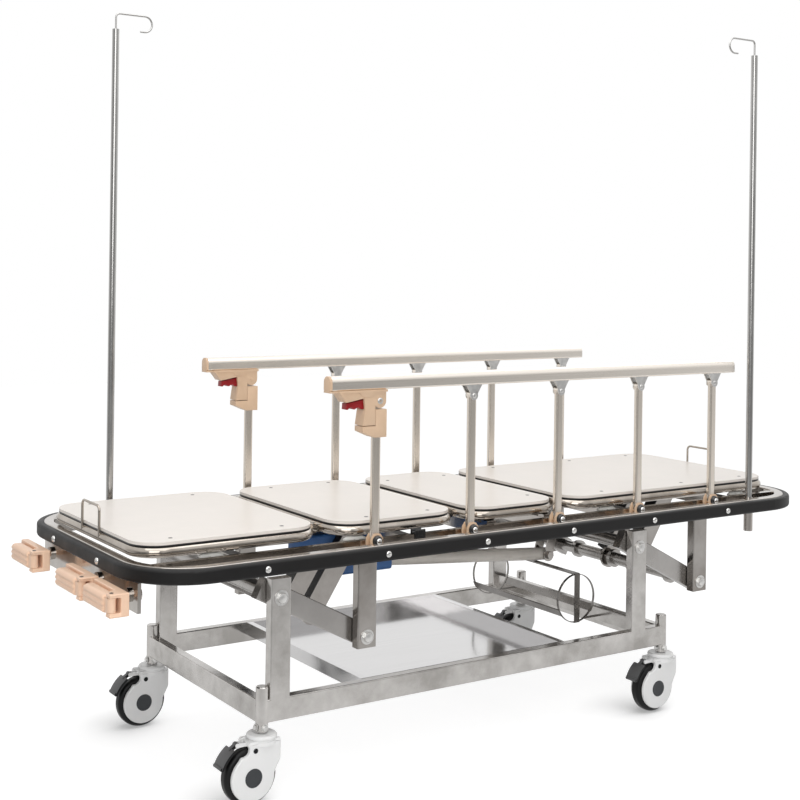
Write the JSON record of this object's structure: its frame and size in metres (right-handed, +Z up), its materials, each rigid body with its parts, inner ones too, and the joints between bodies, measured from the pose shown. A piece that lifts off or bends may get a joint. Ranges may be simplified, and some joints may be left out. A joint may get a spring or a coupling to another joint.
{
  "type": "crank transfer bed",
  "caption": "Wheeled crank-operated transfer bed: stainless base and lift arms, bumpered deck, hinged boards, folding side rails, braked casters, drip poles.",
  "frame": {"origin": "middle of the bounding box, on the floor under the wheels", "axes": "+X from the crank (foot) end to the head end, +Y to the far side in the picture, +Z up"},
  "size_m": [2.07, 0.766, 1.7875],
  "materials": {
    "stainless": "satin stainless tube and sheet",
    "bumper_rubber": "matt black rubber",
    "caster_plastic": "white moulded caster shells",
    "tyre": "black tread",
    "pedal_plastic": "dark grey plastic",
    "sleeve_plastic": "light grey plastic",
    "beige_plastic": "beige moulded plastic",
    "drive_paint": "off-white paint",
    "cover_plastic": "blue moulded cover",
    "board_laminate": "warm white laminate",
    "anodised_rail": "champagne anodised aluminium",
    "trigger_plastic": "crimson moulded plastic"
  },
  "bodies": {
    "base": {"base_frame": "stainless", "base_tray": "stainless", "bottle_holder": "stainless"},
    "caster_1": {"fork_1": "caster_plastic"},
    "roller_1": {"wheel_1": "tyre"},
    "pedal_1": {"brake_1": "pedal_plastic"},
    "caster_2": {"fork_2": "caster_plastic"},
    "roller_2": {"wheel_2": "tyre"},
    "pedal_2": {"brake_2": "pedal_plastic"},
    "caster_3": {"fork_3": "caster_plastic"},
    "roller_3": {"wheel_3": "tyre"},
    "pedal_3": {"brake_3": "pedal_plastic"},
    "caster_4": {"fork_4": "caster_plastic"},
    "roller_4": {"wheel_4": "tyre"},
    "pedal_4": {"brake_4": "pedal_plastic"},
    "lift_foot": {"arm_foot": "stainless"},
    "lift_head": {"arm_head": "stainless"},
    "deck": {"deck_frame": "stainless", "hangers": "stainless", "bumper": "bumper_rubber", "bumper_screws": "stainless", "rest_pads": "sleeve_plastic", "crank_plate": "stainless", "drive_tube": "drive_paint", "drive_cover": "cover_plastic", "seat_frame": "stainless", "seat_board": "board_laminate", "rail_feet": "beige_plastic"},
    "back": {"back_frame": "stainless", "back_board": "board_laminate"},
    "thigh": {"thigh_frame": "stainless", "thigh_board": "board_laminate"},
    "calf": {"calf_frame": "stainless", "calf_board": "board_laminate"},
    "crank_back": {"crank_back": "beige_plastic"},
    "handle_back": {"grip_back": "beige_plastic"},
    "crank_lift": {"crank_lift": "beige_plastic"},
    "handle_lift": {"grip_lift": "beige_plastic"},
    "crank_knee": {"crank_knee": "beige_plastic"},
    "handle_knee": {"grip_knee": "beige_plastic"},
    "near_post_1": {"post_near_1": "anodised_rail", "catch_near": "beige_plastic"},
    "near_rail": {"rail_near": "anodised_rail", "latch_near": "beige_plastic"},
    "near_trigger": {"trigger_near": "trigger_plastic"},
    "near_post_2": {"post_near_2": "anodised_rail"},
    "near_post_3": {"post_near_3": "anodised_rail"},
    "near_post_4": {"post_near_4": "anodised_rail"},
    "near_post_5": {"post_near_5": "anodised_rail"},
    "far_post_1": {"post_far_1": "anodised_rail", "catch_far": "beige_plastic"},
    "far_rail": {"rail_far": "anodised_rail", "latch_far": "beige_plastic"},
    "far_trigger": {"trigger_far": "trigger_plastic"},
    "far_post_2": {"post_far_2": "anodised_rail"},
    "far_post_3": {"post_far_3": "anodised_rail"},
    "far_post_4": {"post_far_4": "anodised_rail"},
    "far_post_5": {"post_far_5": "anodised_rail"},
    "pole_near": {"pole_near": "stainless"},
    "pole_far": {"pole_far": "stainless"}
  },
  "joints": [
    {"name": "swivel_1", "type": "hinge", "parent": "base", "child": "caster_1", "pos_m": [-0.661, -0.287, 0.15], "axis": [0, 0, 1], "continuous": true},
    {"name": "roll_1", "type": "hinge", "parent": "caster_1", "child": "roller_1", "pos_m": [-0.692, -0.287, 0.0625], "axis": [0, 1, 0], "continuous": true},
    {"name": "brake_1", "type": "hinge", "parent": "caster_1", "child": "pedal_1", "pos_m": [-0.723, -0.287, 0.132], "axis": [0, -1, 0], "range_deg": [0, 10]},
    {"name": "swivel_2", "type": "hinge", "parent": "base", "child": "caster_2", "pos_m": [-0.661, 0.287, 0.15], "axis": [0, 0, 1], "continuous": true},
    {"name": "roll_2", "type": "hinge", "parent": "caster_2", "child": "roller_2", "pos_m": [-0.692, 0.287, 0.0625], "axis": [0, 1, 0], "continuous": true},
    {"name": "brake_2", "type": "hinge", "parent": "caster_2", "child": "pedal_2", "pos_m": [-0.723, 0.287, 0.132], "axis": [0, -1, 0], "range_deg": [0, 10]},
    {"name": "swivel_3", "type": "hinge", "parent": "base", "child": "caster_3", "pos_m": [0.539, -0.287, 0.15], "axis": [0, 0, 1], "continuous": true},
    {"name": "roll_3", "type": "hinge", "parent": "caster_3", "child": "roller_3", "pos_m": [0.508, -0.287, 0.0625], "axis": [0, 1, 0], "continuous": true},
    {"name": "brake_3", "type": "hinge", "parent": "caster_3", "child": "pedal_3", "pos_m": [0.477, -0.287, 0.132], "axis": [0, -1, 0], "range_deg": [0, 10]},
    {"name": "swivel_4", "type": "hinge", "parent": "base", "child": "caster_4", "pos_m": [0.539, 0.287, 0.15], "axis": [0, 0, 1], "continuous": true},
    {"name": "roll_4", "type": "hinge", "parent": "caster_4", "child": "roller_4", "pos_m": [0.508, 0.287, 0.0625], "axis": [0, 1, 0], "continuous": true},
    {"name": "brake_4", "type": "hinge", "parent": "caster_4", "child": "pedal_4", "pos_m": [0.477, 0.287, 0.132], "axis": [0, -1, 0], "range_deg": [0, 10]},
    {"name": "lift", "type": "hinge", "parent": "base", "child": "lift_foot", "pos_m": [-0.623, 0, 0.437], "axis": [0, -1, 0], "range_deg": [0, 58]},
    {"name": "deck_level", "type": "hinge", "parent": "lift_foot", "child": "deck", "pos_m": [-0.39927, 0, 0.32103], "axis": [0, -1, 0], "range_deg": [-58, 0]},
    {"name": "lift_head", "type": "hinge", "parent": "base", "child": "lift_head", "pos_m": [0.447, 0, 0.437], "axis": [0, -1, 0], "range_deg": [0, 58]},
    {"name": "back_raise", "type": "hinge", "parent": "deck", "child": "back", "pos_m": [0.224, 0, 0.555], "axis": [0, -1, 0], "range_deg": [0, 70]},
    {"name": "thigh_raise", "type": "hinge", "parent": "deck", "child": "thigh", "pos_m": [-0.094, 0, 0.555], "axis": [0, 1, 0], "range_deg": [0, 35]},
    {"name": "calf_bend", "type": "hinge", "parent": "thigh", "child": "calf", "pos_m": [-0.48, 0, 0.555], "axis": [0, 1, 0], "range_deg": [-64.05, 0]},
    {"name": "crank_back_turn", "type": "hinge", "parent": "deck", "child": "crank_back", "pos_m": [-0.988, 0.205, 0.474], "axis": [1, 0, 0], "range_deg": [0, 1680]},
    {"name": "grip_back_fold", "type": "hinge", "parent": "crank_back", "child": "handle_back", "pos_m": [-1.022, 0.143, 0.474], "axis": [0, 0, 1], "range_deg": [0, 90]},
    {"name": "crank_lift_turn", "type": "hinge", "parent": "deck", "child": "crank_lift", "pos_m": [-0.988, -0.088, 0.474], "axis": [1, 0, 0], "range_deg": [0, 2088]},
    {"name": "grip_lift_fold", "type": "hinge", "parent": "crank_lift", "child": "handle_lift", "pos_m": [-1.022, -0.15, 0.474], "axis": [0, 0, 1], "range_deg": [0, 90]},
    {"name": "crank_knee_turn", "type": "hinge", "parent": "deck", "child": "crank_knee", "pos_m": [-0.988, -0.25, 0.474], "axis": [1, 0, 0], "range_deg": [0, 1050]},
    {"name": "grip_knee_fold", "type": "hinge", "parent": "crank_knee", "child": "handle_knee", "pos_m": [-1.022, -0.312, 0.474], "axis": [0, 0, 1], "range_deg": [0, 90]},
    {"name": "near_fold", "type": "hinge", "parent": "deck", "child": "near_post_1", "pos_m": [-0.387, -0.3045, 0.54], "axis": [0, -1, 0], "range_deg": [0, 75]},
    {"name": "near_rail_level", "type": "hinge", "parent": "near_post_1", "child": "near_rail", "pos_m": [-0.387, -0.3045, 0.856], "axis": [0, -1, 0], "range_deg": [-75, 0]},
    {"name": "near_trigger_pull", "type": "hinge", "parent": "near_rail", "child": "near_trigger", "pos_m": [-0.418, -0.3045, 0.855], "axis": [0, 1, 0], "range_deg": [0, 8], "stiffness_Nm_per_rad": 0.6},
    {"name": "near_post_2_swing", "type": "hinge", "parent": "deck", "child": "near_post_2", "pos_m": [-0.115, -0.3045, 0.54], "axis": [0, -1, 0], "range_deg": [0, 75]},
    {"name": "near_post_3_swing", "type": "hinge", "parent": "deck", "child": "near_post_3", "pos_m": [0.157, -0.3045, 0.54], "axis": [0, -1, 0], "range_deg": [0, 75]},
    {"name": "near_post_4_swing", "type": "hinge", "parent": "deck", "child": "near_post_4", "pos_m": [0.429, -0.3045, 0.54], "axis": [0, -1, 0], "range_deg": [0, 75]},
    {"name": "near_post_5_swing", "type": "hinge", "parent": "deck", "child": "near_post_5", "pos_m": [0.701, -0.3045, 0.54], "axis": [0, -1, 0], "range_deg": [0, 75]},
    {"name": "far_fold", "type": "hinge", "parent": "deck", "child": "far_post_1", "pos_m": [-0.387, 0.3045, 0.54], "axis": [0, -1, 0], "range_deg": [0, 75]},
    {"name": "far_rail_level", "type": "hinge", "parent": "far_post_1", "child": "far_rail", "pos_m": [-0.387, 0.3045, 0.856], "axis": [0, -1, 0], "range_deg": [-75, 0]},
    {"name": "far_trigger_pull", "type": "hinge", "parent": "far_rail", "child": "far_trigger", "pos_m": [-0.418, 0.3045, 0.855], "axis": [0, 1, 0], "range_deg": [0, 8], "stiffness_Nm_per_rad": 0.6},
    {"name": "far_post_2_swing", "type": "hinge", "parent": "deck", "child": "far_post_2", "pos_m": [-0.115, 0.3045, 0.54], "axis": [0, -1, 0], "range_deg": [0, 75]},
    {"name": "far_post_3_swing", "type": "hinge", "parent": "deck", "child": "far_post_3", "pos_m": [0.157, 0.3045, 0.54], "axis": [0, -1, 0], "range_deg": [0, 75]},
    {"name": "far_post_4_swing", "type": "hinge", "parent": "deck", "child": "far_post_4", "pos_m": [0.429, 0.3045, 0.54], "axis": [0, -1, 0], "range_deg": [0, 75]},
    {"name": "far_post_5_swing", "type": "hinge", "parent": "deck", "child": "far_post_5", "pos_m": [0.701, 0.3045, 0.54], "axis": [0, -1, 0], "range_deg": [0, 75]},
    {"name": "pole_near_turn", "type": "hinge", "parent": "deck", "child": "pole_near", "pos_m": [0.812, -0.339, 0.54], "axis": [0, 0, 1], "continuous": true},
    {"name": "pole_far_turn", "type": "hinge", "parent": "deck", "child": "pole_far", "pos_m": [-0.76, 0.339, 0.54], "axis": [0, 0, 1], "continuous": true}
  ],
  "couplings": [
    {"joint": "deck_level", "follows": "lift", "ratio": -1},
    {"joint": "lift_head", "follows": "lift", "ratio": 1},
    {"joint": "calf_bend", "follows": "thigh_raise", "ratio": -1.83},
    {"joint": "crank_back_turn", "follows": "back_raise", "ratio": 24},
    {"joint": "crank_lift_turn", "follows": "lift", "ratio": 36},
    {"joint": "crank_knee_turn", "follows": "thigh_raise", "ratio": 30},
    {"joint": "near_rail_level", "follows": "near_fold", "ratio": -1},
    {"joint": "near_post_2_swing", "follows": "near_fold", "ratio": 1},
    {"joint": "near_post_3_swing", "follows": "near_fold", "ratio": 1},
    {"joint": "near_post_4_swing", "follows": "near_fold", "ratio": 1},
    {"joint": "near_post_5_swing", "follows": "near_fold", "ratio": 1},
    {"joint": "far_rail_level", "follows": "far_fold", "ratio": -1},
    {"joint": "far_post_2_swing", "follows": "far_fold", "ratio": 1},
    {"joint": "far_post_3_swing", "follows": "far_fold", "ratio": 1},
    {"joint": "far_post_4_swing", "follows": "far_fold", "ratio": 1},
    {"joint": "far_post_5_swing", "follows": "far_fold", "ratio": 1}
  ]
}
